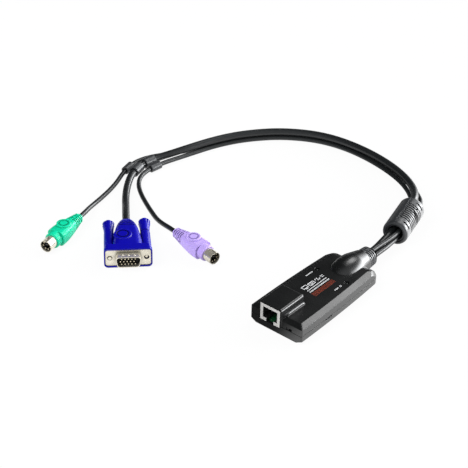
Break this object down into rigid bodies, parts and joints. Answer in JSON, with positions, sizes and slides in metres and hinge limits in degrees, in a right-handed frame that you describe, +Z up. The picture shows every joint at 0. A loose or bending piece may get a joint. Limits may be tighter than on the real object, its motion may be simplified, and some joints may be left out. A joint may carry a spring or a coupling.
{
  "type": "kvm computer-side adapter cable",
  "caption": "Small black housing with an RJ-45 jack, and leads through a clamp-on ferrite to a video plug and keyboard and mouse plugs.",
  "frame": {"origin": "middle of the underside of the housing with its strain relief, on the table", "axes": "+Y along the housing from the jack to the cable exit, +X to the right seen from the cable's side of the jack with +Z up, +Z up from the table"},
  "size_m": [0.229, 0.2533, 0.0198],
  "materials": {
    "case": "fine moulded texture, satin",
    "relief": "flexible black PVC",
    "nickel": "bright nickel plate",
    "insert_black": "black insulator",
    "gold": "gold-flashed contacts",
    "board": "green solder mask",
    "chip": "chip package",
    "can": "drawn can",
    "header": "natural nylon",
    "screw": "zinc plated",
    "lens": "clear lens",
    "knob_black": "black",
    "ferrite_case": "satin dark grey",
    "ferrite": "sintered ferrite",
    "clip": "satin dark grey",
    "jacket": "satin charcoal jacket",
    "blue": "deep blue",
    "flange": "warm nickel plate",
    "turquoise": "turquoise green",
    "lavender": "lavender"
  },
  "bodies": {
    "module": {"top_shell": "case", "bottom_shell": "case", "strain_relief": "relief", "jack_shield": "nickel", "jack_insert": "insert_black", "jack_contacts": "gold", "circuit_board": "board", "processor": "chip", "memory_chip": "chip", "line_transceiver": "chip", "regulator": "chip", "crystal": "can", "capacitors": "can", "video_header": "header", "keyboard_header": "header", "mouse_header": "header", "board_screws": "screw", "led_online": "lens", "led_power": "lens", "switch_body": "insert_black", "ferrite_case_left": "ferrite_case", "ferrite_case_right": "ferrite_case", "ferrite_core_left": "ferrite", "ferrite_core_right": "ferrite", "keyboard_clip": "clip", "mouse_clip": "clip", "video_hood": "blue", "video_shell": "flange", "video_insulator": "insert_black", "video_pins": "gold", "mouse_hood": "turquoise", "mouse_shell": "flange", "mouse_insert": "insert_black", "mouse_pins": "gold", "keyboard_hood": "lavender", "keyboard_shell": "flange", "keyboard_insert": "insert_black", "keyboard_pins": "gold", "video_lead": "jacket", "mouse_lead": "jacket", "keyboard_lead": "jacket"},
    "thumbscrew_left": {"jackscrew_left": "flange", "thumb_knob_left": "blue"},
    "thumbscrew_right": {"jackscrew_right": "flange", "thumb_knob_right": "blue"},
    "switch_slider": {"switch_knob": "knob_black"}
  },
  "joints": [
    {"name": "thumbscrew_left_turn", "type": "hinge", "parent": "module", "child": "thumbscrew_left", "pos_m": [-0.11128, -0.05165, 0.0077], "axis": [0.7083, -0.7059, 0], "continuous": true},
    {"name": "thumbscrew_right_turn", "type": "hinge", "parent": "module", "child": "thumbscrew_right", "pos_m": [-0.12892, -0.06935, 0.0077], "axis": [0.7083, -0.7059, 0], "continuous": true},
    {"name": "switch_slide", "type": "slide", "parent": "module", "child": "switch_slider", "axis": [1, 0, 0], "range_m": [0, 0.002]}
  ]
}
